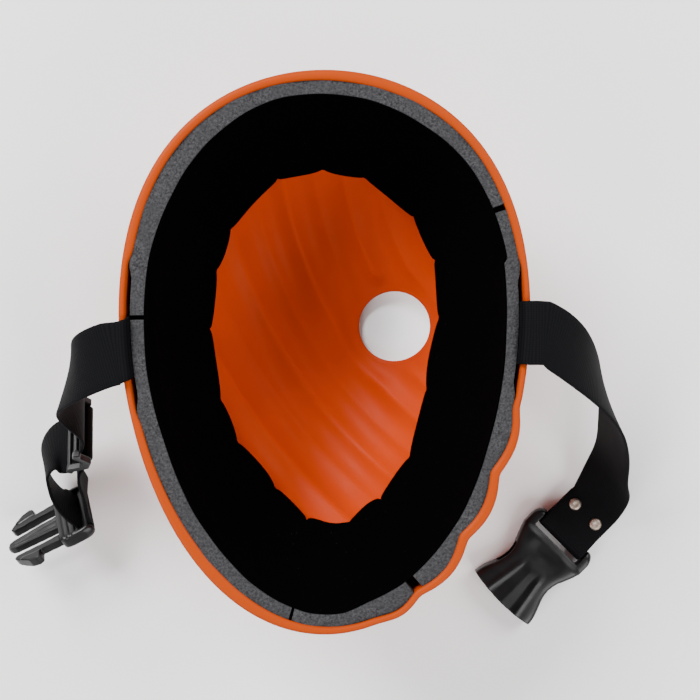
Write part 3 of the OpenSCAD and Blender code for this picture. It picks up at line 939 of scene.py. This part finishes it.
class Finish:
    """A principled material, with short helpers for its node network."""

    def __init__(self, name, color, roughness, **values):
        self.mat = bpy.data.materials.new(name)
        self.mat.use_nodes = True
        self.tree = self.mat.node_tree
        self.shader = self.tree.nodes["Principled BSDF"]
        self.shader.inputs["Base Color"].default_value = (*color, 1)
        self.shader.inputs["Roughness"].default_value = roughness
        for key, value in values.items():
            self.shader.inputs[key.replace("_", " ")].default_value = value

    def node(self, kind, inputs=None, **settings):
        node = self.tree.nodes.new(kind)
        for key, value in settings.items():
            setattr(node, key, value)
        for key, value in (inputs or {}).items():
            if isinstance(value, bpy.types.NodeSocket):
                self.tree.links.new(value, node.inputs[key])
            else:
                node.inputs[key].default_value = value
        return node

    def place(self, kind="Object"):
        return self.node("ShaderNodeTexCoord").outputs[kind]

    def noise(self, scale, detail=3.0, rough=0.5, vector=None):
        where = vector or self.place()
        inputs = {"Vector": where, "Scale": scale, "Detail": detail, "Roughness": rough}
        return self.node("ShaderNodeTexNoise", inputs).outputs["Fac"]

    def cells(self, scale, feature="F1"):
        node = self.node("ShaderNodeTexVoronoi", {"Vector": self.place(), "Scale": scale}, feature=feature)
        return node.outputs["Distance"]

    def math(self, operation, a, b=0.0):
        return self.node("ShaderNodeMath", {0: a, 1: b}, operation=operation).outputs[0]

    def ramp(self, value, low, high, at=(0.0, 1.0)):
        node = self.node("ShaderNodeValToRGB", {"Fac": value})
        for stop, where, color in zip(node.color_ramp.elements, at, (low, high)):
            stop.position = where
            stop.color = (*color, 1)
        return node.outputs["Color"]

    def mix(self, factor, a, b):
        node = self.node("ShaderNodeMix", {"Factor": factor}, data_type="RGBA")
        for socket, value in ((node.inputs[6], a), (node.inputs[7], b)):
            if isinstance(value, bpy.types.NodeSocket):
                self.tree.links.new(value, socket)
            else:
                socket.default_value = (*value, 1)
        return node.outputs[2]

    def range(self, value, low, high, to_low, to_high):
        inputs = {"Value": value, "From Min": low, "From Max": high, "To Min": to_low, "To Max": to_high}
        return self.node("ShaderNodeMapRange", inputs).outputs["Result"]

    def color(self, socket):
        self.tree.links.new(socket, self.shader.inputs["Base Color"])

    def roughness(self, socket):
        self.tree.links.new(socket, self.shader.inputs["Roughness"])

    def bump(self, height, distance, strength=1.0):
        inputs = {"Height": height, "Distance": distance, "Strength": strength}
        node = self.node("ShaderNodeBump", inputs)
        self.tree.links.new(node.outputs["Normal"], self.shader.inputs["Normal"])


# The top band of the rim is painted duller and yellower than the walls: painted shade on the up-facing lip,
# which the overhead lamps light hardest.
RIM_PAINTED_SHADE = (0.33, 0.038, 0.0)


def orange_plastic():
    f = Finish("orange_plastic", (0.45, 0.034, 0.0), 0.46, Specular_IOR_Level=0.08)
    f.shader.inputs["Subsurface Weight"].default_value = 0.06
    f.shader.inputs["Subsurface Radius"].default_value = (0.003, 0.0008, 0.0002)
    height = f.node("ShaderNodeSeparateXYZ", {"Vector": f.place()}).outputs["Z"]
    # Mask of the painted shade on the rim: it rises from 0 to 1 towards the top of the rim.
    rim = f.range(height, MASK_D * MM - 0.012, MASK_D * MM - 0.003, 0.0, 1.0)
    f.color(f.mix(rim, f.ramp(f.noise(14), (0.4, 0.029, 0.0), (0.5, 0.039, 0.0), (0.3, 0.7)), RIM_PAINTED_SHADE))
    f.roughness(f.range(f.noise(60), 0.3, 0.7, 0.44, 0.54))
    f.bump(f.noise(900), 0.00002, 0.6)
    return f.mat


def foam_finish():
    f = Finish("charcoal_foam", (0.05, 0.05, 0.055), 0.95, Specular_IOR_Level=0.2)
    speckle = f.ramp(f.noise(900, 4, 0.7), (0.01, 0.01, 0.012), (0.062, 0.062, 0.065), (0.35, 0.7))
    patches = f.range(f.noise(90), 0.35, 0.65, 0.0, 0.5)
    f.color(f.mix(patches, speckle, (0.026, 0.026, 0.028)))
    pores = f.math("SUBTRACT", f.noise(1100, 4, 0.7), f.cells(700))
    f.bump(pores, 0.0004, 0.8)
    return f.mat


def velvet():
    f = Finish("black_facing", (0.0004, 0.0004, 0.0006), 0.95, Specular_IOR_Level=0.02)
    lint = f.math("LESS_THAN", f.cells(260), 0.045)
    f.color(f.mix(lint, (0.0004, 0.0004, 0.0006), (0.02, 0.02, 0.022)))
    f.bump(f.noise(1500, 3, 0.6), 0.00012, 0.6)
    return f.mat


def webbing_finish():
    f = Finish("black_webbing", (0.003, 0.003, 0.004), 0.75, Specular_IOR_Level=0.07, Sheen_Weight=0.01)
    f.shader.inputs["Sheen Roughness"].default_value = 0.35
    uv = f.node("ShaderNodeSeparateXYZ", {0: f.place("UV")})
    along = f.math("SINE", f.math("MULTIPLY", uv.outputs[0], math.pi / 0.011))
    across = f.math("SINE", f.math("MULTIPLY", uv.outputs[1], math.pi / 0.013))
    weave = f.math("ABSOLUTE", f.math("MULTIPLY", along, across))
    rows = f.math("ABSOLUTE", across)
    height = f.math("ADD", f.math("MULTIPLY", weave, 0.6), f.math("MULTIPLY", rows, 0.4))
    # Painted shade: the weave's hollows are coloured darker than its crowns, following the bump height.
    f.color(f.ramp(height, (0.0008, 0.0008, 0.0011), (0.0032, 0.0032, 0.0042)))
    f.bump(height, 0.00018, 0.7)
    return f.mat


def buckle_plastic():
    f = Finish("black_plastic", (0.002, 0.002, 0.0025), 0.36, Specular_IOR_Level=0.3)
    f.color(f.ramp(f.noise(30), (0.0012, 0.0012, 0.0016), (0.003, 0.003, 0.0036), (0.3, 0.7)))
    f.roughness(f.range(f.noise(120), 0.3, 0.7, 0.3, 0.44))
    f.bump(f.noise(2600, 2), 0.00003, 0.5)
    return f.mat


def rivet_metal():
    f = Finish("dull_nickel", (0.3, 0.24, 0.2), 0.5, Metallic=1.0)
    f.color(f.ramp(f.noise(500), (0.26, 0.2, 0.16), (0.42, 0.34, 0.29), (0.35, 0.65)))
    f.roughness(f.range(f.noise(700), 0.3, 0.7, 0.42, 0.6))
    return f.mat


def thread_finish():
    f = Finish("grey_thread", (0.05, 0.05, 0.055), 0.8, Sheen_Weight=0.2)
    f.bump(f.noise(4000), 0.00005, 0.6)
    return f.mat


def floor_finish():
    f = Finish("pale_floor", (0.9, 0.9, 0.9), 0.9, Specular_IOR_Level=0.1)
    return f.mat


# ---- Assembly ----------------------------------------------------------------------------------


def finish_with(obj, mat):
    obj.data.materials.clear()
    obj.data.materials.append(mat)


orange = orange_plastic()
foam_mat = foam_finish()
facing_mat = velvet()
webbing_mat = webbing_finish()
black = buckle_plastic()
metal = rivet_metal()
thread = thread_finish()

shell = make_shell()
finish_with(shell, orange)
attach(shell, "mask")
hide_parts("shell")

# Width and length each facing was cut to, in metres.
FACING_CUTS = {
    "top": (0.085, 0.205),
    "left": (0.085, 0.1265),
    "chin": (0.085, 0.0445),
    "right": (0.085, 0.14),
}
for strip, flat in FACING_CUTS.items():
    foam = make_foam(strip)
    finish_with(foam, foam_mat)
    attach(foam, "mask")
    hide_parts(f"liner_{strip}_foam")
    facing = make_facing(strip)
    finish_with(facing, facing_mat)
    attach(facing, "mask")
    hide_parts(f"liner_{strip}_facing")

left = make_left_webbing()
finish_with(left, webbing_mat)
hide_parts("left_anchor", "left_strap", "left_fold")
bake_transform(left)

back = make_return_webbing()
finish_with(back, webbing_mat)
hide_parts("return_strap", "sewn_fold")
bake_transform(back)

right = make_right_webbing()
finish_with(right, webbing_mat)
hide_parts("right_anchor", "right_strap", "right_fold")
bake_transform(right)

PLASTICS = (
    (make_adjuster(), "slide_adjuster", "adjuster"),
    (make_male_body(), "male_buckle", "male_body"),
    (make_prong("prong_up", -1), "prong_upper", "prong_upper"),
    (make_prong("prong_down", 1), "prong_lower", "prong_lower"),
    (make_female_body(), "female_buckle", "female_body"),
)
for obj, body, node in PLASTICS:
    finish_with(obj, black)
    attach(obj, body)
    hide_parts(node)

for name, profile, height, node in (
    ("rivet_heads", CAP, WEB_T, "rivet_caps"),
    ("rivet_washers", BACK, -WEB_T, "rivet_backs"),
):
    obj = make_rivets(name, profile, height)
    finish_with(obj, metal)
    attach(obj, "right_strap")
    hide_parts(node)

tack = make_stitching()
finish_with(tack, thread)
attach(tack, "slide_adjuster")
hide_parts("return_stitching")


# ---- Floor, light and camera ---------------------------------------------------------------------


def make_floor():
    obj = mesh_object("floor", [(-20, -20, 0), (20, -20, 0), (20, 20, 0), (-20, 20, 0)], [(0, 1, 2, 3)])
    obj.data.materials.append(floor_finish())


def make_light(name, at, size, power):
    data = bpy.data.lights.new(name, "AREA")
    data.shape = "RECTANGLE"
    data.size, data.size_y = size
    data.energy = power
    obj = bpy.data.objects.new(name, data)
    obj.location = at
    obj.rotation_euler = (Vector((0, 0, 0.05)) - Vector(at)).to_track_quat("-Z", "Y").to_euler()
    bpy.context.scene.collection.objects.link(obj)


def make_world():
    world = bpy.data.worlds.new("studio")
    world.use_nodes = True
    background = world.node_tree.nodes["Background"]
    background.inputs["Color"].default_value = (1, 1, 1, 1)
    background.inputs["Strength"].default_value = 0.22
    bpy.context.scene.world = world


def make_camera():
    data = bpy.data.cameras.new("camera")
    data.lens = 68
    data.sensor_width = 36
    obj = bpy.data.objects.new("camera", data)
    obj.location = (0.0168, 0.0094, 0.734)
    bpy.context.scene.collection.objects.link(obj)
    bpy.context.scene.camera = obj


make_floor()
make_light("key", (-0.95, 1.1, 1.35), (0.9, 0.9), 75)
make_light("right_fill", (1.25, 0.8, 1.2), (1.1, 1.1), 32)
make_light("left_fill", (-1.1, -1.1, 1.2), (1.1, 1.1), 24)
make_light("front_fill", (1.0, -1.25, 1.3), (1.1, 1.1), 34)
make_world()
make_camera()
